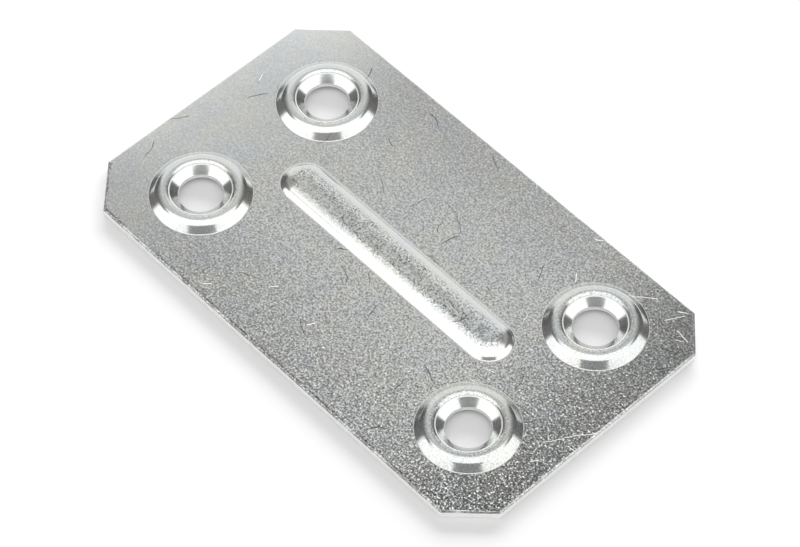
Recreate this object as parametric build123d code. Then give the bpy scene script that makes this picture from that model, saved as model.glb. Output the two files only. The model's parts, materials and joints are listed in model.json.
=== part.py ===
from build123d import *
from math import cos, radians, sin, tan
import os

# Pressed mending plate: one piece of zinc-plated steel sheet, with snipped corners,
# a stiffening rib along its middle and four raised seats for countersunk screws.
#
# Frame: +X along the plate, +Y across it, +Z up through its face. The origin is at
# the middle of the underside, which is the face that lies on the joint it mends.

# ---------------------------------------------------------------- driving dimensions
# Lengths are in millimetres and angles in degrees.

# Blank
plate_length = 60.0
plate_width = 35.5
sheet = 1.0                    # thickness of the sheet
snip_left_back = 4.3           # leg of the 45 degree cut at the -X +Y corner
snip_right_back = 3.65         # the same at +X +Y, which was cut shallower
snip_right_front = 4.2         # the same at +X -Y
snip_left_front = 4.5          # the same at -X -Y
edge_roll = 0.22               # rounding that the blanking punch leaves on the upper edge

# Screw seats
pitch_x = 40.6                 # between seat centres along the plate
pitch_y = 18.0                 # between seat centres across it
pattern_shift_x = 0.27         # how far the seats were pressed off the blank's middle
pattern_shift_y = 0.1
hole_diameter = 4.9            # clears a 4.5 mm wood screw
sink_diameter = 7.0            # mouth of the countersink, level with the seat's crest
sink_angle = 90.0              # whole angle of the countersink
seat_diameter = 10.9           # foot of the raised seat on the plate's face
seat_rise = 0.9                # height of the crest above the plate's face
seat_flank = 40.0              # slope of the seat's outer flank
seat_wall = 0.75               # wall left under the countersink by the coining punch
skirt_gap = 0.5                # height of the hole's lower rim above the underside
mouth_break = 0.4              # leg of the bevel that eases the mouth of the hollow

# Rib
rib_length = 33.0              # over its rounded ends, at the foot
rib_width = 5.2                # at the foot
rib_shift_x = 0.4              # how far the rib was pressed off the blank's middle
rib_rise = 0.8                 # height of its top above the plate's face
rib_flank = 43.0               # slope of its sides
rib_crown = 1.5                # width of the top before it falls away to the shoulders
rib_crown_slope = 16.0         # slope of the top between the crown and the shoulders
rib_crown_round = 3.2          # round between the crown and that slope
rib_shoulder = 1.6             # round between that slope and the side
rib_wall = 0.9                 # wall left over the hollow under it
rib_roof_round = 0.4           # round at the sides of the hollow's roof
rib_foot_round = 0.2           # inside round where its side meets the plate's face
rib_mouth_round = 1.1          # outside round at the mouth of its hollow

# Both pressed forms
joining_land = 0.6             # ring of flat sheet that is built with each pressed form


# ---------------------------------------------------------------- sections

def meeting_radius(flank_base, flank_rise, cone_base, cone_rise):
    """Where a flank falling outwards meets a cone rising outwards, both from one height."""
    return (flank_base * flank_rise + cone_base * cone_rise) / (flank_rise + cone_rise)


def closed_section(corners):
    """Face in the XZ plane from (distance, height, round) corners, taken in order."""
    points = [(distance, 0, height) for distance, height, _ in corners]
    rounds = [corner_round for _, _, corner_round in corners]
    outline = FilletPolyline(*points, radius=rounds, close=True)
    return make_face(outline)


def tangent_length(corner_angle, radius=1.0):
    """How much of each side a round of this radius takes at a corner of this turn."""
    return radius * tan(radians(corner_angle / 2))


def seat_section():
    """Half section of a screw seat, from the bore's wall out to the flat sheet."""
    flank = radians(seat_flank)
    flank_rise = tan(flank)
    cone_rise = tan(radians(90 - sink_angle / 2))
    hole_radius = hole_diameter / 2
    sink_radius = sink_diameter / 2
    foot_radius = seat_diameter / 2
    crest_height = sheet + seat_rise

    # Upper side: the countersink's cone and the flank would meet in a ridge above
    # the crest, and one round, tangent to both, brings it down to the crest's height
    shoulder_radius = foot_radius - seat_rise / flank_rise
    crest_width = shoulder_radius - sink_radius
    crest_round = crest_width / (tangent_length(90 - sink_angle / 2) + tangent_length(seat_flank))
    ridge_radius = meeting_radius(shoulder_radius, flank_rise, sink_radius, cone_rise)
    ridge_height = crest_height + (shoulder_radius - ridge_radius) * flank_rise
    sink_bottom = crest_height - (sink_radius - hole_radius) * cone_rise

    # Underside: the same cone and flank, laid off by their walls, meet in a groove
    mouth_radius = foot_radius - tangent_length(seat_flank, sheet)
    skirt_radius = sink_radius + seat_wall / cos(radians(sink_angle / 2)) - (
        (crest_height - skirt_gap) / cone_rise
    )
    base_radius = skirt_radius - skirt_gap / cone_rise
    groove_radius = meeting_radius(mouth_radius, flank_rise, base_radius, cone_rise)
    groove_height = (mouth_radius - groove_radius) * flank_rise

    return closed_section([
        (hole_radius, skirt_gap, 0),
        (hole_radius, sink_bottom, 0),
        (ridge_radius, ridge_height, crest_round),
        (foot_radius, sheet, 0),
        (foot_radius + joining_land, sheet, 0),
        (foot_radius + joining_land, 0, 0),
        (mouth_radius + mouth_break, 0, 0),
        (mouth_radius - mouth_break * cos(flank), mouth_break * sin(flank), 0),
        (groove_radius, groove_height, 0),
        (skirt_radius, skirt_gap, 0),
    ])


def rib_section():
    """Half section of the rib, from its middle plane out to the flat sheet."""
    flank_rise = tan(radians(rib_flank))
    crown_fall = tan(radians(rib_crown_slope))
    foot = rib_width / 2
    crown = rib_crown / 2
    top_height = sheet + rib_rise
    roof_height = top_height - rib_wall

    # The top falls gently from the crown and meets the side in the shoulder
    shoulder = (foot * flank_rise - crown * crown_fall - rib_rise) / (flank_rise - crown_fall)
    shoulder_height = top_height - (shoulder - crown) * crown_fall
    mouth = foot - tangent_length(rib_flank, sheet)
    roof_edge = mouth - roof_height / flank_rise

    return closed_section([
        (0, roof_height, 0),
        (0, top_height, 0),
        (crown, top_height, rib_crown_round),
        (shoulder, shoulder_height, rib_shoulder),
        (foot, sheet, rib_foot_round),
        (foot + joining_land, sheet, 0),
        (foot + joining_land, 0, 0),
        (mouth, 0, rib_mouth_round),
        (roof_edge, roof_height, rib_roof_round),
    ])


# ---------------------------------------------------------------- pressed forms

def screw_seat():
    """One raised countersunk seat on its ring of sheet, centred on the Z axis."""
    return revolve(seat_section(), axis=Axis.Z)


def rib():
    """The rib on its border of sheet: two straight halves and two turned ends."""
    straight = rib_length - rib_width
    half = Pos(0, -straight / 2, 0) * rib_section()
    side = extrude(half, amount=straight, dir=(0, 1, 0))
    end = Pos(0, straight / 2, 0) * revolve(rib_section(), axis=Axis.Z, revolution_arc=180)
    along_y = side + mirror(side, about=Plane.YZ) + end + mirror(end, about=Plane.XZ)
    return Rot(0, 0, 90) * along_y


# ---------------------------------------------------------------- blank

def blank_outline():
    """Rectangle with its four corners snipped at 45 degrees."""
    x = plate_length / 2
    y = plate_width / 2
    corners = [
        (-x, y - snip_left_back), (-x + snip_left_back, y),
        (x - snip_right_back, y), (x, y - snip_right_back),
        (x, -y + snip_right_front), (x - snip_right_front, -y),
        (-x + snip_left_front, -y), (-x, -y + snip_left_front),
    ]
    return make_face(Polyline(*corners, close=True))


def blank():
    """Flat sheet with the blanking punch's round along its upper edge."""
    flat = extrude(blank_outline(), amount=sheet)
    upper_edges = flat.faces().sort_by(Axis.Z)[-1].edges()
    return fillet(upper_edges, edge_roll)


# ---------------------------------------------------------------- the plate

seat_places = [
    Pos(pattern_shift_x + side_x * pitch_x / 2, pattern_shift_y + side_y * pitch_y / 2, 0)
    for side_x in (-1, 1)
    for side_y in (-1, 1)
]

seat_window = extrude(Circle(seat_diameter / 2 + joining_land), amount=sheet)
rib_window = extrude(
    SlotOverall(rib_length + 2 * joining_land, rib_width + 2 * joining_land), amount=sheet
)

mending_plate = blank() - Pos(rib_shift_x, 0, 0) * rib_window
for place in seat_places:
    mending_plate -= place * seat_window

mending_plate += Pos(rib_shift_x, 0, 0) * rib()
for place in seat_places:
    mending_plate += place * screw_seat()

mending_plate = mending_plate.clean()
mending_plate.label = "mending_plate"

os.makedirs("parts", exist_ok=True)
export_step(mending_plate, "parts/mending_plate.step")
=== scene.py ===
# %% [markdown]
# # A pressed mending plate
#
# A mending plate is laid across a joint in timber and screwed down on both sides of it.
# This one is a single stamping. A strip of steel, already zinc plated, goes through a
# press that blanks its outline, squeezes a stiffening rib along its middle, and raises
# four countersunk seats for the screw heads. Nothing is joined to it, so in Blender it
# is one closed mesh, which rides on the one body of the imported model.
#
# A beginner might model it from a cube with loop cuts, or with booleans. Here each
# pressed form is a drawn section that Geometry Nodes carry round a path, because that is
# also how a toolmaker draws the punches, and it leaves clean rings for the reflections.

import json
from math import asin, cos, degrees, pi, radians, sin, tan

import bmesh
import bpy
from mathutils import Matrix, Vector, noise


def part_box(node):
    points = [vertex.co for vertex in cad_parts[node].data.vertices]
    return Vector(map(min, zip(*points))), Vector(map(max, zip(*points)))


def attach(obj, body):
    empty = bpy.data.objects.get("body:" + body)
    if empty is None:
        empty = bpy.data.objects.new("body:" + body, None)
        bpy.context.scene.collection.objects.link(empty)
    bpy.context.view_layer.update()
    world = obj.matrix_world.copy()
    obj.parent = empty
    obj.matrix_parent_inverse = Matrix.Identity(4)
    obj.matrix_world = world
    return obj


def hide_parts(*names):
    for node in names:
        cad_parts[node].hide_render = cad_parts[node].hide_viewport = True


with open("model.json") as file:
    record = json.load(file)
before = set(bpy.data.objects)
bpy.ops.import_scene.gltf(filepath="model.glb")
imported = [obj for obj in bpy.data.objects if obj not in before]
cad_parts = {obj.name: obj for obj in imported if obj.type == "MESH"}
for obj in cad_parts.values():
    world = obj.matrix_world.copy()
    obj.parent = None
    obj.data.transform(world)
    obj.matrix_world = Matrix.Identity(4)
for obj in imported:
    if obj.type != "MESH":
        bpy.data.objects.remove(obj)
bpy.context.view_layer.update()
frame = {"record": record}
cad_low, cad_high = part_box("mending_plate")
print("packed plate, in metres:", [round(side, 5) for side in cad_high - cad_low])

# %% [markdown]
# ## Sizes
#
# The plate's length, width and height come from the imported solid, and the places and
# bores of its screw holes from the mounts of its record, so this script follows them if
# they change. The sizes of the pressed sections are named here, in metres.

# %% Sizes
mm = 0.001

plate_length = cad_high.x - cad_low.x
plate_width = cad_high.y - cad_low.y
seat_height = cad_high.z
sheet = 1.0 * mm

mounts = {mount["name"]: mount for mount in frame["record"]["mounts"]}
screw_holes = mounts["screw_holes"]
pitch_x = screw_holes["dims"]["spacing_x_mm"] * mm
pitch_y = screw_holes["dims"]["spacing_y_mm"] * mm
hole_radius = screw_holes["dims"]["hole_r_mm"] * mm
pattern_shift = Vector(screw_holes["pos_m"])

print("screw pitch, in metres:", round(pitch_x, 5), "by", round(pitch_y, 5))
print("hole radius, in metres:", round(hole_radius, 5))

# %% [markdown]
# ## Sections of the pressed forms
#
# A pressed sheet has no sharp corners, since the metal stretches over the punch. So a
# section here is a short list of corners, each with the round that replaces it. Every
# corner also says three things about its surface, which the finish reads later: how far
# the tool burnished it, how far it is bare cut steel, and how much painted shade it gets,
# a darker colour that stands in for shade in creases. A mesh of edges can hold these
# marks as attributes, and Geometry Nodes carry them on to the swept surface.

# %% Rounded sections
mark_names = ("burnish", "cut", "painted_shade")


def round_corner(before, corner, after, radius, steps):
    """Points of the round of this radius that replaces a corner."""
    into = (corner - before).normalized()
    out = (after - corner).normalized()
    turn = into.angle(out)
    side = 1.0 if into.x * out.y - into.y * out.x > 0 else -1.0
    square = Vector((-into.y, into.x)) * side
    start = corner - into * radius * tan(turn / 2)
    points = []
    for step in range(steps + 1):
        angle = turn * step / steps
        points.append(start + into * radius * sin(angle) + square * radius * (1 - cos(angle)))
    return points


def section_points(corners, steps_per_turn=14):
    """(point, marks) along a section of (distance, height, round, burnish, cut, painted shade)."""
    places = [Vector(corner[:2]) for corner in corners]
    points = []
    for index, corner in enumerate(corners):
        radius, *marks = corner[2:]
        here = places[index]
        if radius == 0:
            points.append((here, marks))
            continue
        before, after = places[index - 1], places[index + 1]
        turn = (here - before).angle(after - here)
        steps = max(3, round(steps_per_turn * turn / (pi / 2)))
        for point in round_corner(before, here, after, radius, steps):
            points.append((point, marks))
    return points


# %% [markdown]
# A screw seat is a volcano with a countersunk crater. Seen in section from the flat
# sheet inwards, the metal rises over a soft foot, climbs a steep flank and turns over
# the crest in two rounds. The punch that coins the crater leaves a fine step at its rim,
# and from there the cone drops to the hole. Underneath, the wall follows roughly.

# %% Section of a screw seat
level_ring = 0.3 * mm                   # flat sheet beside a form that keeps its shading level
crease = 0.16 * mm                      # where shade is painted, outside the foot
seat_foot = 5.46 * mm
seat_land = 0.6 * mm
seat_flank = radians(43)
seat_crest = 3.95 * mm
inner_round = 1.0 * mm
outer_round = 1.4 * mm
coin_ring = 3.44 * mm                   # radius where the coining punch met the crest
coin_step = 0.06 * mm
coin_lean = 0.02 * mm
coin_shelf = 0.1 * mm
shelf_slope = radians(12)
cone_edge = 0.06 * mm                   # width of the bright line round the cone's mouth
sink_slope = radians(37.5)
skirt_gap = 0.5 * mm
skirt_radius = 3.16 * mm                # of the lower rim that the coining pressed down
groove_radius = 3.78 * mm               # of the top of the hollow under the seat
groove_slope = radians(40)


def seat_section():
    """Corners of a seat's section, from the flat face over the crest to the underside."""
    outer = seat_crest + outer_round * tan(seat_flank / 2)
    turn = asin((seat_crest - coin_ring) / inner_round)
    inner = seat_crest - inner_round * tan(turn / 2)
    ring_height = seat_height - inner_round * (1 - cos(turn))
    shelf = coin_ring - coin_lean
    shelf_height = ring_height - coin_step
    sink_top = shelf - coin_shelf
    sink_height = shelf_height - coin_shelf * tan(shelf_slope)
    sink_bottom = sink_height - (sink_top - hole_radius) * tan(sink_slope)
    mouth = seat_foot - sheet * tan(seat_flank / 2)
    groove_height = (mouth - groove_radius) * tan(groove_slope)
    edge = seat_foot + seat_land
    # The last column is painted shade: a darker colour in the crease outside the foot, a little on
    # the crest, round the coining step and in the hollow underneath.
    return [
        (edge, sheet, 0, 0.0, 0.0, 0.0),
        (seat_foot + level_ring, sheet, 0, 0.0, 0.0, 0.0),
        (seat_foot + crease, sheet, 0, 0.0, 0.0, 0.25),
        (seat_foot, sheet, 0.15 * mm, 0.75, 0.0, 0.0),
        (outer, seat_height, outer_round, 0.8, 0.0, 0.0),
        (inner, seat_height, inner_round, 0.55, 0.0, 0.12),
        (coin_ring, ring_height, 0.012 * mm, 0.6, 0.0, 0.9),
        (shelf, shelf_height, 0.012 * mm, 1.0, 0.45, 0.0),
        (sink_top, sink_height, 0.03 * mm, 1.0, 0.4, 0.0),
        (sink_top - cone_edge, sink_height - cone_edge * tan(sink_slope), 0, 1.0, 0.0, 0.0),
        (hole_radius, sink_bottom, 0.04 * mm, 1.0, 0.0, 0.0),
        (hole_radius, skirt_gap, 0.06 * mm, 0.4, 1.0, 0.0),
        (skirt_radius, skirt_gap, 0.1 * mm, 0.3, 0.6, 0.0),
        (groove_radius, groove_height, 0.25 * mm, 0.3, 0.0, 0.3),
        (mouth, 0, 0.8 * mm, 0.2, 0.0, 0.0),
        (edge, 0, 0, 0.0, 0.0, 0.0),
    ]


seat_profile = section_points(seat_section())
print("seat section:", len(seat_profile), "points")

# %% [markdown]
# The rib is a shallow hat: a narrow level top, gentle slopes down to two round shoulders,
# and steep sides. Only half of it is drawn, from the flat sheet to the middle plane and
# back underneath, because the path that carries it runs all the way round the rib.

# %% Section of the rib
rib_length = 33.0 * mm
rib_width = 5.2 * mm
rib_shift = 0.4 * mm
rib_rise = 0.8 * mm
rib_wall = 0.9 * mm
rib_flank = radians(43)
rib_crown = 1.5 * mm                    # width of its level top
rib_crown_slope = radians(16)
rib_land = 0.6 * mm


def rib_section():
    """Corners of the rib's half section, from the flat face to the middle and back."""
    foot = rib_width / 2
    top = sheet + rib_rise
    roof = top - rib_wall
    crown = rib_crown / 2
    shoulder = (
        (foot * tan(rib_flank) - crown * tan(rib_crown_slope) - rib_rise)
        / (tan(rib_flank) - tan(rib_crown_slope))
    )
    shoulder_height = top - (shoulder - crown) * tan(rib_crown_slope)
    mouth = foot - sheet * tan(rib_flank / 2)
    roof_edge = mouth - roof / tan(rib_flank)
    edge = foot + rib_land
    # The last column is painted shade: a darker stripe along the rib's top.
    return [
        (edge, sheet, 0, 0.0, 0.0, 0.0),
        (foot + level_ring, sheet, 0, 0.0, 0.0, 0.0),
        (foot, sheet, 0.2 * mm, 0.8, 0.0, 0.0),
        (shoulder, shoulder_height, 1.6 * mm, 1.0, 0.0, 0.0),
        (crown, top, 3.2 * mm, 0.1, 0.0, 0.25),
        (0, top, 0, 0.0, 0.0, 0.35),
        (0, roof, 0, 0.0, 0.0, 0.0),
        (roof_edge, roof, 0.4 * mm, 0.2, 0.0, 0.0),
        (mouth, 0, 1.1 * mm, 0.2, 0.0, 0.0),
        (edge, 0, 0, 0.0, 0.0, 0.0),
    ]


rib_profile = section_points(rib_section())
print("rib half section:", len(rib_profile), "points")

# %% [markdown]
# ## One small language for node trees
#
# Trees of nodes are easier to read as sums than as boxes. A Field wraps one socket, and
# Python's operators on it add Math nodes, so 1 - mask means what it says. Every other
# node is added by one method, which takes the node's type, its settings, and the values
# or links of its sockets. It serves the Geometry Nodes here and the finish later.

# %% Fields and graphs
class Field:
    """A socket's value. Operators on it add Math nodes to its graph."""

    def __init__(self, graph, socket):
        self.graph = graph
        self.socket = socket

    def __add__(self, other):
        return self.graph.maths("ADD", self, other)

    def __radd__(self, other):
        return self.graph.maths("ADD", other, self)

    def __sub__(self, other):
        return self.graph.maths("SUBTRACT", self, other)

    def __rsub__(self, other):
        return self.graph.maths("SUBTRACT", other, self)

    def __mul__(self, other):
        return self.graph.maths("MULTIPLY", self, other)

    def __rmul__(self, other):
        return self.graph.maths("MULTIPLY", other, self)

    def __truediv__(self, other):
        return self.graph.maths("DIVIDE", self, other)

    def __pow__(self, other):
        return self.graph.maths("POWER", self, other)

    def __abs__(self):
        return self.graph.maths("ABSOLUTE", self)


class Graph:
    """A node tree, shader or geometry, that is written as expressions."""

    def __init__(self, tree):
        self.tree = tree
        tree.nodes.clear()

    def node(self, kind, settings=None, values=None, output=0):
        """Adds a node and returns one of its outputs as a Field."""
        node = self.tree.nodes.new(kind)
        for name, value in (settings or {}).items():
            setattr(node, name, value)
        for name, value in (values or {}).items():
            if isinstance(value, Field):
                self.tree.links.new(value.socket, node.inputs[name])
            else:
                node.inputs[name].default_value = value
        return Field(self, node.outputs[output]) if len(node.outputs) else node

    def maths(self, operation, *values):
        """A Math node on two or three values."""
        return self.node("ShaderNodeMath", {"operation": operation}, dict(enumerate(values)))

    def vector(self, operation, *values, output=0):
        """A Vector Math node, whose sockets are taken in order."""
        settings = {"operation": operation}
        return self.node("ShaderNodeVectorMath", settings, dict(enumerate(values)), output)

    def step(self, value, low, high):
        """0 below low, 1 above high, and an even S between them."""
        return self.node("ShaderNodeMapRange", {"interpolation_type": "SMOOTHSTEP"}, {
            "Value": value, "From Min": low, "From Max": high,
        })


# %% [markdown]
# ## Sweeping a section round a path
#
# Two of the plate's forms are the same idea. A seat is its section carried round a
# circle, four times over. The rib is its half section carried round a stadium, which is
# a circle whose halves are drawn apart. Each gets a Geometry Nodes tree with its sizes as
# named inputs. The seats are instances on the corners of a grid, as the press repeats
# one punch, and they are made real at the end, because an export drops instances.

# %% Helpers for the trees
def section_object(name, profile, foot):
    """The section as a line of edges, measured outwards from the foot of the form."""
    mesh = bpy.data.meshes.new(name)
    corners = [(point.x - foot, -point.y, 0) for point, _ in profile]
    edges = []
    for index in range(len(profile) - 1):
        in_the_middle = profile[index][0].x == 0 and profile[index + 1][0].x == 0
        if not in_the_middle:
            edges.append((index, index + 1))
    mesh.from_pydata(corners, edges, [])
    for column, label in enumerate(mark_names):
        attribute = mesh.attributes.new(label, "FLOAT", "POINT")
        attribute.data.foreach_set("value", [marks[column] for _, marks in profile])
    return bpy.data.objects.new(name, mesh)


def geometry_tree(name, inputs):
    """A Graph for a modifier, with its named inputs as Fields."""
    tree = bpy.data.node_groups.new(name, "GeometryNodeTree")
    graph = Graph(tree)
    kinds = {float: "NodeSocketFloat", int: "NodeSocketInt", bpy.types.Object: "NodeSocketObject"}
    for label, kind in inputs.items():
        tree.interface.new_socket(label, in_out="INPUT", socket_type=kinds[kind])
    tree.interface.new_socket("Geometry", in_out="OUTPUT", socket_type="NodeSocketGeometry")
    entry = tree.nodes.new("NodeGroupInput")
    return graph, {label: Field(graph, entry.outputs[label]) for label in inputs}


def swept(graph, path, section):
    """The section carried along a path, as a mesh."""
    drawn = graph.node("GeometryNodeObjectInfo", {}, {"Object": section}, "Geometry")
    profile = graph.node("GeometryNodeMeshToCurve", {}, {"Mesh": drawn})
    return graph.node("GeometryNodeCurveToMesh", {}, {"Curve": path, "Profile Curve": profile})


def finish_tree(graph, geometry, material):
    """Makes instances real and gives the surface its finish."""
    real = graph.node("GeometryNodeRealizeInstances", {}, {"Geometry": geometry})
    wearing = graph.node("GeometryNodeSetMaterial", {}, {"Geometry": real, "Material": material})
    graph.node("NodeGroupOutput", {}, {"Geometry": wearing})


def grown_mesh(name, graph, sizes):
    """The mesh that a tree grows from these sizes."""
    holder = bpy.data.objects.new(name, bpy.data.meshes.new(name))
    bpy.context.scene.collection.objects.link(holder)
    modifier = holder.modifiers.new(name, "NODES")
    modifier.node_group = graph.tree
    for item in graph.tree.interface.items_tree:
        if item.in_out == "INPUT":
            modifier[item.identifier] = sizes[item.name]
    depsgraph = bpy.context.evaluated_depsgraph_get()
    mesh = bpy.data.meshes.new_from_object(holder.evaluated_get(depsgraph))
    bpy.data.objects.remove(holder)
    print(name, "has", len(mesh.polygons), "faces")
    return mesh


# %% [markdown]
# The four seats come from one circle: the section is carried round it once, and the
# result is set on the corners of a grid that is as wide and as deep as the screws'
# pitch. The material has only its name yet. Its nodes are written further down.

# %% Four screw seats
zinc = bpy.data.materials.new("zinc_plated_steel")
seat_steps = 120                        # faces round a seat
graph, sizes = geometry_tree("screw_seats", {
    "Section": bpy.types.Object,
    "Foot Radius": float,
    "Pitch X": float,
    "Pitch Y": float,
    "Shift X": float,
    "Shift Y": float,
    "Steps": int,
})
circle = graph.node(
    "GeometryNodeCurvePrimitiveCircle", {"mode": "RADIUS"},
    {"Resolution": sizes["Steps"], "Radius": sizes["Foot Radius"]},
)
seat = swept(graph, circle, sizes["Section"])
corners = graph.node("GeometryNodeMeshGrid", {}, {
    "Size X": sizes["Pitch X"], "Size Y": sizes["Pitch Y"], "Vertices X": 2, "Vertices Y": 2,
})
seats = graph.node("GeometryNodeInstanceOnPoints", {}, {"Points": corners, "Instance": seat})
shift = graph.node("ShaderNodeCombineXYZ", {}, {"X": sizes["Shift X"], "Y": sizes["Shift Y"]})
placed = graph.node("GeometryNodeTransform", {}, {"Geometry": seats, "Translation": shift})
finish_tree(graph, placed, zinc)

seats_mesh = grown_mesh("screw_seats", graph, {
    "Section": section_object("seat_section", seat_profile, seat_foot),
    "Foot Radius": seat_foot,
    "Pitch X": pitch_x,
    "Pitch Y": pitch_y,
    "Shift X": pattern_shift.x,
    "Shift Y": pattern_shift.y,
    "Steps": seat_steps,
})

# %% [markdown]
# The rib's path is a circle too, whose points right of the middle move one way and those
# left of it the other way. The two half sections meet in the rib's middle plane, where
# the doubled points are merged.

# %% The rib
rib_steps = 98                          # points round its path, half at each end
merge_distance = 0.002 * mm
graph, sizes = geometry_tree("rib", {
    "Section": bpy.types.Object,
    "Half Width": float,
    "Straight": float,
    "Shift X": float,
    "Steps": int,
})
circle = graph.node(
    "GeometryNodeCurvePrimitiveCircle", {"mode": "RADIUS"},
    {"Resolution": sizes["Steps"], "Radius": sizes["Half Width"]},
)
along = graph.node(
    "ShaderNodeSeparateXYZ", {}, {0: graph.node("GeometryNodeInputPosition")}, "X"
)
side = graph.maths("SIGN", along)
drawn_apart = side * sizes["Straight"] * 0.5 + sizes["Shift X"]
offset = graph.node("ShaderNodeCombineXYZ", {}, {"X": drawn_apart})
stadium = graph.node("GeometryNodeSetPosition", {}, {"Geometry": circle, "Offset": offset})
halves = swept(graph, stadium, sizes["Section"])
closed = graph.node(
    "GeometryNodeMergeByDistance", {}, {"Geometry": halves, "Distance": merge_distance}
)
finish_tree(graph, closed, zinc)

rib_mesh = grown_mesh("rib", graph, {
    "Section": section_object("rib_section", rib_profile, rib_width / 2),
    "Half Width": rib_width / 2,
    "Straight": rib_length - rib_width,
    "Shift X": rib_shift,
    "Steps": rib_steps,
})

# %% [markdown]
# ## The blanked edge
#
# A blanking punch leaves four marks on the edge of a sheet, one under the other. The
# upper edge is rolled over, where the metal was drawn down before it gave. Below it is a
# bright band that the punch wiped smooth. The rest tore, and is duller and a little
# ragged, and a fine burr stands where the tear came out. The outline itself is a
# rectangle with four snipped corners, and no two of the snips are quite alike.
#
# A Bevel modifier would give the roll, but not the bands. So the edge is built as rings:
# each ring is the outline, moved in by the section's distance and set at its height.

# %% Outline of the blank
snips = {(-1, 1): 4.3 * mm, (1, 1): 3.65 * mm, (1, -1): 4.2 * mm, (-1, -1): 4.5 * mm}
corner_round = 0.25 * mm
edge_spacing = 0.3 * mm


def blank_sides():
    """(outward direction, distance from the middle) of the eight sides, anticlockwise."""
    sides = []
    for quarter, (x, y) in enumerate([(1, 1), (-1, 1), (-1, -1), (1, -1)]):
        diagonal = Vector((x, y)).normalized()
        corner = Vector((x * plate_length / 2, y * plate_width / 2))
        snip = diagonal.dot(corner) - snips[(x, y)] / 2 ** 0.5
        straight = Vector((x, 0)) if quarter % 2 == 0 else Vector((0, y))
        sides.append((straight, abs(straight.dot(corner))))
        sides.append((diagonal, snip))
    return sides


def meeting(first, second, inset):
    """Where two neighbouring sides meet, both moved in by the inset."""
    (a, at_a), (b, at_b) = first, second
    at_a, at_b = at_a - inset, at_b - inset
    cross = a.x * b.y - a.y * b.x
    return Vector(((at_a * b.y - at_b * a.y) / cross, (at_b * a.x - at_a * b.x) / cross))


def outline_ring(inset, spacing=edge_spacing, arc_steps=4):
    """(point, outward direction) round the outline, as many for every inset."""
    sides = blank_sides()
    count = len(sides)
    radius = max(corner_round - inset, 0)
    ring = []
    for index in range(count):
        side, following = sides[index], sides[(index + 1) % count]
        turn = side[0].angle(following[0])
        corner = meeting(side, following, inset)
        centre = corner - (side[0] + following[0]).normalized() * radius / cos(turn / 2)
        start = side[0]
        square = Vector((-start.y, start.x))
        for step in range(arc_steps + 1):
            angle = turn * step / arc_steps
            outward = start * cos(angle) + square * sin(angle)
            ring.append((centre + outward * radius, outward))
        after = sides[(index + 2) % count]
        full = (meeting(following, after, 0) - meeting(side, following, 0)).length
        steps = round(full / spacing)
        end = meeting(following, after, inset)
        end_turn = following[0].angle(after[0])
        trim = radius * tan(end_turn / 2)
        along = (end - corner).normalized()
        first = corner + along * radius * tan(turn / 2)
        last = end - along * trim
        for step in range(1, steps):
            ring.append((first.lerp(last, step / steps), following[0]))
    return ring


print("outline ring:", len(outline_ring(0)), "points")

# %% [markdown]
# The edge's section has the roll, the bright band and the torn band as its corners. The
# cut bands waver a little: each point of a ring is pulled in or out by a noise that
# depends on nothing but its place, so the edge is the same on every run.

# %% Rings of the edge
edge_roll = 0.22 * mm
edge_land = 0.6 * mm
roll_crease = 0.02 * mm                 # where shade is painted, inside the roll
band_top, band_bottom = 0.74 * mm, 0.42 * mm
tear_top, tear_bottom = 0.36 * mm, 0.1 * mm
# The last column is painted shade: a dark line on and inside the roll, strongest on the -Y side.
edge_corners = [
    (-edge_land, sheet, 0, 0.0, 0.0, 0.0),
    (-edge_roll - level_ring, sheet, 0, 0.0, 0.0, 0.0),
    (-edge_roll - roll_crease, sheet, 0, 0.0, 0.0, 0.6),
    (0, sheet, edge_roll, 0.3, 0.1, 0.6),
    (0, band_top, 0, 0.9, 1.0, 0.0),
    (0, band_bottom, 0, 0.9, 1.0, 0.0),
    (-0.02 * mm, tear_top, 0, 0.1, 1.0, 0.1),
    (-0.035 * mm, tear_bottom, 0, 0.1, 1.0, 0.0),
    (-0.01 * mm, 0.0, 0.02 * mm, 0.2, 1.0, 0.0),
    (-0.2 * mm, 0.0, 0, 0.0, 0.2, 0.0),
    (-edge_land, 0, 0, 0.0, 0.0, 0.0),
]
edge_profile = section_points(edge_corners)

fine_size, fine_depth = 0.35 * mm, 0.011 * mm
broad_size, broad_depth = 2.2 * mm, 0.016 * mm
least_painted_shade = 0.15                      # share of the painted shade on the sides away from -Y


def raggedness(place, height):
    """How far the tear pulls the edge in or out at a place, in metres."""
    fine = noise.noise(Vector((place.x, place.y, height)) / fine_size)
    broad = noise.noise(Vector((place.x, place.y, 0)) / broad_size)
    return fine_depth * fine + broad_depth * broad


def edge_ring(point, marks):
    """One ring of the edge, with its marks: the painted shade is darkest along the -Y side."""
    burnish, cut, painted_shade = marks
    ring = []
    for place, outward in outline_ring(-point.x):
        spot = place + outward * raggedness(place, point.y) * cut
        share = least_painted_shade + (1 - least_painted_shade) * max(0, -outward.y)
        ring.append(((spot.x, spot.y, point.y), (burnish, cut, painted_shade * share)))
    return ring


edge_rings = [edge_ring(*row) for row in edge_profile]
print("edge:", len(edge_rings), "rings")

# %% [markdown]
# ## One closed sheet
#
# The seats, the rib and the edge are open shells whose borders all lie in the plate's
# two flat faces. Gathered in one mesh, each face is then filled between those borders.
# The seams of the forms are welded first. The fill shares the borders' vertices, so the
# result is closed like the real sheet. Every border is a ring of level faces away from the form
# it belongs to, which keeps the shading of the large flats level as well.

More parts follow.
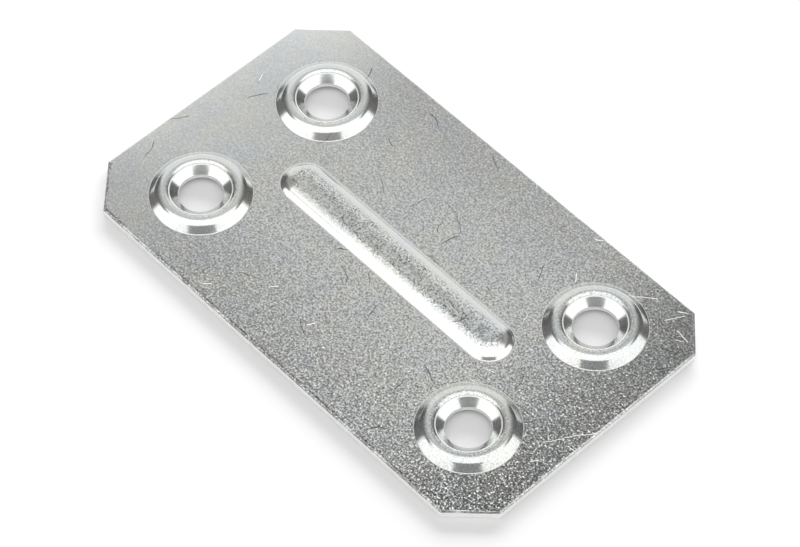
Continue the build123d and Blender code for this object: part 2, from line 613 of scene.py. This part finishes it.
# %% Gather the forms and fill the flats
def gather(meshes, rings):
    """One mesh from swept meshes and the rings of the edge, with their marks."""
    points, faces = [], []
    marks = {label: [] for label in mark_names}
    for mesh in meshes:
        start = len(points)
        points += [tuple(vertex.co) for vertex in mesh.vertices]
        faces += [[start + corner for corner in face.vertices] for face in mesh.polygons]
        for label in mark_names:
            marks[label] += [value.value for value in mesh.attributes[label].data]
    start = len(points)
    around = len(rings[0])
    for ring in rings:
        points += [place for place, _ in ring]
        for column, label in enumerate(mark_names):
            marks[label] += [row[column] for _, row in ring]
    for level in range(len(rings) - 1):
        for step in range(around):
            here = start + level * around + step
            beside = start + level * around + (step + 1) % around
            faces.append([here, beside, beside + around, here + around])
    gathered = bpy.data.meshes.new("mending_plate_sheet")
    gathered.from_pydata(points, [], faces)
    for label in mark_names:
        attribute = gathered.attributes.new(label, "FLOAT", "POINT")
        attribute.data.foreach_set("value", marks[label])
    return gathered


weld_distance = 0.0005 * mm
level_within = 0.01 * mm                # how near a border's height has to be to a face's
sharp_above = radians(38)               # the sheet shades smooth over softer edges


def close_sheet(mesh):
    """Fills the two flat faces between the borders that lie in them."""
    work = bmesh.new()
    work.from_mesh(mesh)
    bmesh.ops.remove_doubles(work, verts=work.verts, dist=weld_distance)
    for height in (0.0, sheet):
        border = [
            edge for edge in work.edges
            if edge.is_boundary and all(abs(v.co.z - height) < level_within for v in edge.verts)
        ]
        bmesh.ops.triangle_fill(work, use_beauty=True, edges=border)
    bmesh.ops.recalc_face_normals(work, faces=work.faces)
    open_edges = sum(1 for edge in work.edges if not edge.is_manifold)
    print("sheet:", len(work.faces), "faces,", open_edges, "open edges")
    print("volume in cubic mm:", round(work.calc_volume() / mm ** 3, 1))
    work.to_mesh(mesh)
    work.free()


sheet_mesh = gather([seats_mesh, rib_mesh], edge_rings)
close_sheet(sheet_mesh)
sheet_mesh.shade_smooth()
sheet_mesh.set_sharp_from_angle(angle=sharp_above)
sheet_mesh.materials.clear()
sheet_mesh.materials.append(zinc)

plate = bpy.data.objects.new("pressed_plate", sheet_mesh)
bpy.context.scene.collection.objects.link(plate)

# %% [markdown]
# ## Bright zinc
#
# Zinc plating is a mirror that has been spoilt in small ways. Seen close to, its flat
# faces are a fine leather of crystals, light and dark, coarse at one end of this plate
# and hardly visible at the other. Where a tool pressed the sheet, the crystals are wiped
# flat and the metal shines. Its cut edges are bare, pale steel.
#
# A painted texture could hold all that, but it would be tied to one size and one mesh.
# The finish is a set of rules instead. It reads the surface's place in millimetres and
# the marks that the sections left on the mesh, so it follows the part if a size changes.

# %% Tools for the finish
class Finish(Graph):
    """A shader tree that reads the surface's place, in millimetres."""

    def __init__(self, tree):
        super().__init__(tree)
        place = self.node("ShaderNodeTexCoord", {}, {}, "Object")
        self.here = self.vector("MULTIPLY", place, (1 / mm, 1 / mm, 1 / mm))
        self.along, self.across = (
            self.node("ShaderNodeSeparateXYZ", {}, {0: self.here}, axis) for axis in "XY"
        )

    def moved(self, shift, place=None):
        """The surface's place, moved so that no two patterns run together."""
        return self.vector("ADD", place or self.here, (shift, shift * 0.7, shift * 1.3))

    def cloud(self, scale, detail=2.0, roughness=0.5, shift=0.0, output="Fac"):
        """Noise with that many features to a millimetre."""
        return self.node("ShaderNodeTexNoise", {}, {
            "Vector": self.moved(shift), "Scale": scale, "Detail": detail, "Roughness": roughness,
        }, output)

    def mixed(self, share, first, second):
        """One colour, which goes over to another as the share goes from 0 to 1."""
        return self.node("ShaderNodeMix", {"data_type": "RGBA"}, {0: share, 6: first, 7: second}, 2)


zinc.use_nodes = True
metal = Finish(zinc.node_tree)
burnish, cut, painted_shade = (
    metal.node("ShaderNodeAttribute", {"attribute_name": label}, {}, "Fac")
    for label in mark_names
)
raw = 1 - burnish
print("the finish reads", ", ".join(mark_names))

# %% [markdown]
# The crystals differ in brightness by a factor, not by an amount. So the grain is the
# exponential of a noise, which gives many middling crystals, some dark ones and a few
# very bright ones, as in the real plating. One number, its depth, sets how strongly they
# differ. It grows towards +X and towards -Y, and nearly vanishes on burnished metal.
# The brightness as a whole falls towards the +X end and both long sides, and rises a
# little towards the -X end: partly a real change in the plating, partly painted shade.
# The few crystals that come out much brighter than the rest are picked out as painted
# glints: they turn mostly matt white, so they shine under any light.

# %% Grain of the plating
left_end = metal.step(0 - metal.along, 14, 26)
right_end = metal.step(metal.along, 13, 31)
depth = metal.along * 0.018 - metal.across * 0.02 - 0.8 * left_end + 0.12 * right_end
depth = metal.maths("EXPONENT", depth - 1.55) * (0.06 + 0.94 * raw ** 1.5)

crystals_per_mm = 4.6
speckle = (metal.cloud(crystals_per_mm, 1.5, 0.7, 40.0) - 0.5) * 14
grain = metal.maths("EXPONENT", speckle * depth)

# Partly painted shade: the colour darkens towards +X and both long sides, and lightens towards -X.
sides = metal.step(0 - metal.across, 4, 17) * 0.19 + metal.step(metal.across, 6, 17) * 0.14
sides = sides * (1 - metal.step(metal.across, -5, 10) * left_end * 2)
ends = 0.5 * right_end - 0.12 * left_end
shade = (0.92 - 0.17 * raw) * (1 - ends * raw) * (1 - sides * raw)
lit = grain * shade
# Painted glints: the brightest crystals are made mostly matt white further down.
sparkle = metal.step(grain, 1.8, 3.5)
print("grain of", crystals_per_mm, "crystals to a millimetre")

# %% [markdown]
# A plate that has lain in a box with others has hairlines in its plating and a few
# bright scratches near its corners. Some of them lie at random: a cell pattern gives
# every stroke its own middle, direction and bend. The longer ones are placed one by
# one, each from where it starts to where it ends, in millimetres on the face.

# %% Hairlines and scratches
full_turn = 6.283
core = 0.3                              # share of a stroke's width that is fully marked
fade = 0.2                              # length over which a scratch begins and ends, in mm


def strokes(metal, scale, share, reach, width, bend, shift):
    """Thin bent strokes in some of the cells of a pattern: 1 on a stroke, 0 beside it."""
    wander = metal.vector("SUBTRACT", metal.cloud(0.7, 1.0, 0.5, shift, "Color"), (0.5, 0.5, 0.5))
    place = metal.vector("ADD", metal.here, metal.vector("MULTIPLY", wander, (0.6, 0.6, 0)))
    place = metal.moved(shift, place)
    cell = {"voronoi_dimensions": "2D"}
    colour = metal.node("ShaderNodeTexVoronoi", cell, {"Vector": place, "Scale": scale}, "Color")
    middle = metal.node("ShaderNodeTexVoronoi", cell, {"Vector": place, "Scale": scale}, "Position")
    red, green, blue = (
        metal.node("ShaderNodeSeparateXYZ", {}, {0: colour}, axis) for axis in "XYZ"
    )
    turned = metal.node("ShaderNodeVectorRotate", {"rotation_type": "Z_AXIS"}, {
        "Vector": metal.vector("SUBTRACT", place, middle), "Angle": red * full_turn,
    })
    run, side = (metal.node("ShaderNodeSeparateXYZ", {}, {0: turned}, axis) for axis in "XY")
    side = side - run * run * (green - 0.5) * bend
    on_line = 1 - metal.step(abs(side), width * core, width)
    within = 1 - metal.step(abs(run), reach * 0.5, reach)
    return on_line * within * metal.step(blue, 1 - share, 1 - share + 0.01)


def scratch(metal, start, finish, width):
    """One straight scratch between two places on the face: 1 on it, 0 beside it."""
    run = Vector(finish) - Vector(start)
    way = (run.x / run.length, run.y / run.length, 0)
    side = (-way[1], way[0], 0)
    from_start = metal.vector("SUBTRACT", metal.here, (start[0], start[1], 0))
    along = metal.vector("DOT_PRODUCT", from_start, way, output="Value")
    off = metal.vector("DOT_PRODUCT", from_start, side, output="Value")
    off = off + (metal.cloud(0.8, 1.0, 0.5, start[0]) - 0.5) * 0.4
    on_line = 1 - metal.step(abs(off), width * core, width)
    started = metal.step(along, 0, fade)
    ended = metal.step(along, run.length - fade, run.length)
    return on_line * (started * (1 - ended))


def scratches(metal, places):
    """Several scratches: 1 on any of them, 0 elsewhere."""
    marks = scratch(metal, *places[0])
    for place in places[1:]:
        marks = metal.maths("MAXIMUM", marks, scratch(metal, *place))
    return marks


dark_marks = metal.maths(
    "MAXIMUM",
    strokes(metal, 0.3, 0.2, 1.4, 0.07, 0.6, 7.0) * raw,
    scratches(metal, [
        ((-1.7, 9.0), (0.5, 8.8), 0.06),
        ((0.5, 8.7), (2.6, 7.4), 0.06),
        ((0.0, 6.9), (0.8, 5.6), 0.06),
        ((-3.6, 5.7), (-3.2, 8.0), 0.05),
        ((-11.9, 10.5), (-10.6, 9.9), 0.06),
        ((-8.5, 6.2), (-6.5, 5.0), 0.05),
        ((9.3, 4.5), (10.8, 3.9), 0.05),
    ]),
)
bright_marks = metal.maths(
    "MAXIMUM",
    strokes(metal, 0.4, 0.05, 0.7, 0.05, 0.3, 33.0) * raw,
    scratches(metal, [
        ((27.0, -4.6), (28.1, -2.7), 0.05),
        ((28.0, -2.8), (30.0, 0.1), 0.06),
        ((29.1, -3.3), (29.9, -3.1), 0.06),
        ((24.8, 14.7), (26.0, 16.8), 0.045),
        ((26.6, 14.8), (28.5, 14.5), 0.05),
        ((27.2, 13.8), (28.3, 14.3), 0.035),
        ((20.1, 14.2), (22.6, 16.3), 0.05),
        ((16.6, -2.7), (17.7, -2.3), 0.04),
    ]),
)
print("nodes so far:", len(zinc.node_tree.nodes))

# %% [markdown]
# The finish is two layers of the same metal, one sharp and one hazy. A single roughness
# can't do this: real plating mirrors a lamp's edge crisply and still glows softly round
# it. Shade is painted dark into the creases, and bare or scratched metal scatters light like paper.
# The flats aren't quite flat either: a bump of a few micrometres bends what they mirror.
# Another tilts the shading of the two ends downwards, by nearly 4 degrees at the last.
# The mesh itself stays flat there.

# %% Finish
droop_start = 21                        # from the middle, in mm
fall = metal.maths("MAXIMUM", abs(metal.along) - droop_start, 0) ** 2 * -0.0035
waves = (metal.cloud(0.12, 1.0, 0.5, 11.0) - 0.5) * 0.03
soft = (metal.cloud(1.1, 2.0, 0.5, 5.0) - 0.5) * 0.012 * (0.3 + 0.7 * raw)
bump = metal.node("ShaderNodeBump", {}, {
    "Strength": 1.0, "Distance": 1.0 * mm, "Height": fall + waves + soft,
})
plated = metal.mixed(
    metal.step(metal.cloud(0.3, 2.0, 0.5, 3.0), 0.4, 0.65),
    (0.955, 0.97, 0.93, 1.0),
    (0.915, 0.945, 0.945, 1.0),
)
black = (0.0, 0.0, 0.0, 1.0)
painted_shade_colour = (0.06, 0.06, 0.06, 1.0)
scratch_colour = (0.97, 0.97, 0.97, 1.0)
bare_steel = (0.96, 0.96, 0.945, 1.0)
tone = metal.mixed(lit, black, plated)
# Painted shade: a mottled dark colour where the sections' third mark asks for it, in creases, round
# the coining step, along the rib's top and on the -Y edge.
patches = metal.step(metal.cloud(0.45, 1.0, 0.5, 60.0), 0.3, 0.6)
mottled_painted_shade = metal.step(metal.cloud(5.0, 2.0, 0.6, 50.0) + painted_shade * (0.1 + 0.3 * patches), 0.6, 0.75)
mottled_painted_shade = mottled_painted_shade * metal.maths("MINIMUM", painted_shade * 4, 1.0)
dark = metal.maths("MAXIMUM", dark_marks * 0.8, mottled_painted_shade * 0.8)
tone = metal.mixed(dark, tone, painted_shade_colour)
tone = metal.mixed(bright_marks, tone, scratch_colour)
tone = metal.mixed(cut, tone, bare_steel)
# The painted glints and the bright scratches turn matt white, and the bare cut steel too.
white = metal.maths("MAXIMUM", bright_marks * 0.8, sparkle * 0.7)
white = metal.maths("MAXIMUM", cut * 0.9, white)
metallic = 1 - white
sharp = metal.node("ShaderNodeBsdfPrincipled", {}, {
    "Base Color": tone, "Metallic": metallic, "Roughness": 0.13 + 0.4 * cut, "Normal": bump,
})
haze = metal.node("ShaderNodeBsdfPrincipled", {}, {
    "Base Color": tone, "Metallic": metallic, "Roughness": 0.28 + 0.3 * cut, "Normal": bump,
})
surface = metal.node("ShaderNodeMixShader", {}, {0: 0.20 + 0.10 * raw, 1: sharp, 2: haze})
metal.node("ShaderNodeOutputMaterial", {}, {"Surface": surface})
print("finish:", len(zinc.node_tree.nodes), "nodes")

# %% [markdown]
# ## Camera
#
# The plate is seen from above one corner, through a long lens from about a third of a
# metre away, which keeps its sides nearly parallel. The place is given by two angles and a distance
# from the point that the lens looks at, which is easier to adjust than coordinates.

# %% Camera
view_azimuth = radians(-42.78)
view_elevation = radians(54.08)
view_roll = radians(-0.52)
view_distance = 0.3572
view_target = Vector((1.962, -0.835, 1.0)) * mm
towards_camera = Vector((
    cos(view_elevation) * cos(view_azimuth),
    cos(view_elevation) * sin(view_azimuth),
    sin(view_elevation),
))
across = Vector((-sin(view_azimuth), cos(view_azimuth), 0))
upward = towards_camera.cross(across)
turned_across = across * cos(view_roll) + upward * sin(view_roll)
turned_upward = towards_camera.cross(turned_across)
camera_data = bpy.data.cameras.new("camera")
camera_data.lens = 155.44               # mm, on a sensor of 36 mm
camera_data.sensor_width = 36.0
camera_data.clip_start = 0.01
camera = bpy.data.objects.new("camera", camera_data)
bpy.context.scene.collection.objects.link(camera)
turn = Matrix((turned_across, turned_upward, towards_camera)).transposed()
camera_place = view_target + towards_camera * view_distance
camera.matrix_world = Matrix.Translation(camera_place) @ turn.to_4x4()
bpy.context.scene.camera = camera
print("camera at", [round(side, 4) for side in camera_place])

# %% [markdown]
# ## Studio
#
# Bright metal has hardly any colour of its own. What it shows is the room, so the room is
# most of the picture. Here the room is painted on the world as a few soft panels: a wide
# one overhead, two wings, a wall behind, a dim one in front and a band near the horizon.
# The darker gaps between them give the seats their dark bands. Directions are measured
# in degrees from straight up, to the right and to the back, which is how such panels are
# set up round a table. Where two panels overlap, the brighter one counts.
#
# The camera itself sees white instead of the panels, and that white lights nothing.

# %% Studio light
world = bpy.data.worlds.new("studio")
bpy.context.scene.world = world
world.use_nodes = True
graph = Graph(world.node_tree)
direction = graph.node("ShaderNodeTexCoord", {}, {}, "Generated")
upwards = graph.node("ShaderNodeSeparateXYZ", {}, {0: direction}, "Z")
from_zenith = graph.maths("ARCCOSINE", upwards) * degrees(1)
level = graph.maths("MAXIMUM", graph.maths("SQRT", 1 - upwards * upwards), 0.001)
away = Vector((-cos(view_azimuth), -sin(view_azimuth), 0))
to_right = graph.vector("DOT_PRODUCT", direction, across, output="Value") / level
to_back = graph.vector("DOT_PRODUCT", direction, away, output="Value") / level
right = from_zenith * to_right
back = from_zenith * to_back
azimuth = graph.maths("ARCCOSINE", graph.maths("MINIMUM", to_back, 1.0)) * degrees(1)


def between(value, low, high, soft_low, soft_high):
    """1 between low and high, falling off over the soft angles outside them."""
    above = graph.step(value, low - soft_low, low)
    return above * (1 - graph.step(value, high, high + soft_high))


bowed = back + 12 * between(abs(right), 37, 44, 7, 10)
overhead = between(right, -77, 77, 5, 5) * graph.step(back, -36, -33)
overhead = overhead * (1 - graph.step(bowed, 14, 24))
wings = between(abs(right), 26, 80, 4, 4) * between(back, -63, -35, 4, 3)
wall = (1 - graph.step(azimuth, 26, 38)) * graph.step(back, 35, 46)
gap = between(back, 10, 46, 4, 4)
gap = gap * (0.62 - 0.48 * graph.step(abs(right), 6, 50))
front = between(right, -30, 30, 4, 4) * between(back, -100, -33, 4, 4)
horizon = between(from_zenith, 70, 88, 4, 1) * (1 - graph.step(back, -50, -40))

panels = [
    (overhead, 1.3), (wings, 1.2), (wall, 0.84), (gap, 1.0), (front, 0.27), (horizon, 0.95),
]
light = 0.10                            # what the room gives where no panel stands
for mask, brightness in panels:
    light = graph.maths("MAXIMUM", mask * brightness, light)
seen = graph.node("ShaderNodeLightPath", {}, {}, "Is Camera Ray")
strength = light * (1 - seen) + seen
shine = graph.node("ShaderNodeBackground", {}, {"Color": (1, 1, 1, 1), "Strength": strength})
graph.node("ShaderNodeOutputWorld", {}, {"Surface": shine})
print("studio:", len(panels), "panels")

# %% [markdown]
# The table is a sheet of white paper. It is a matt surface lit by the same panels, which
# keeps the plate's shadow, with a little light of its own that only the camera and
# reflections see, as paper in a studio is lit from behind. A low window behind the
# plate throws the long part of the shadow towards the camera.

# %% Floor
floor_half = 1.5
floor_drop = 0.02 * mm                  # keeps the floor out of the plate's underside
floor_lift = 0.06                       # how brightly the paper shines by itself
floor_mesh = bpy.data.meshes.new("floor")
floor_corners = [
    (x * floor_half, y * floor_half, -floor_drop)
    for x, y in ((-1, -1), (1, -1), (1, 1), (-1, 1))
]
floor_mesh.from_pydata(floor_corners, [], [(0, 1, 2, 3)])
floor = bpy.data.objects.new("floor", floor_mesh)
bpy.context.scene.collection.objects.link(floor)
paper = bpy.data.materials.new("paper_floor")
paper.use_nodes = True
graph = Graph(paper.node_tree)
matte = graph.node("ShaderNodeBsdfDiffuse", {}, {"Color": (0.7, 0.7, 0.7, 1)})
ray = graph.node("ShaderNodeLightPath", {}, {}, "Is Camera Ray")
glossy = graph.node("ShaderNodeLightPath", {}, {}, "Is Glossy Ray")
lift = graph.node("ShaderNodeEmission", {}, {
    "Color": (1, 1, 1, 1), "Strength": graph.maths("MAXIMUM", ray, glossy) * floor_lift,
})
both = graph.node("ShaderNodeAddShader", {}, {0: matte, 1: lift})
graph.node("ShaderNodeOutputMaterial", {}, {"Surface": both})
floor_mesh.materials.append(paper)
print("floor:", 2 * floor_half, "m wide")

# %% The window behind the plate
window_right = radians(12)              # right of straight behind the plate
window_up = radians(20.5)               # above the table
window_data = bpy.data.lights.new("window", "AREA")
window_data.shape = "RECTANGLE"
window_data.size = 1.1
window_data.size_y = 0.34
window_data.energy = 17.0
window = bpy.data.objects.new("window", window_data)
bpy.context.scene.collection.objects.link(window)
window_way = away * cos(window_right) + across * sin(window_right)
window_place = window_way * cos(window_up) + Vector((0, 0, sin(window_up)))
window.location = window_place
window.rotation_euler = window_place.to_track_quat("Z", "Y").to_euler()
window.visible_glossy = False
window.visible_camera = False
print("window:", round(window_data.size, 2), "by", round(window_data.size_y, 2), "m")

bpy.context.scene.view_settings.view_transform = "Standard"

# %% [markdown]
# ## Handing over
#
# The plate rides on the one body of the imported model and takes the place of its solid.

# %% Hand the piece to the frame
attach(plate, "root")
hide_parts("mending_plate")
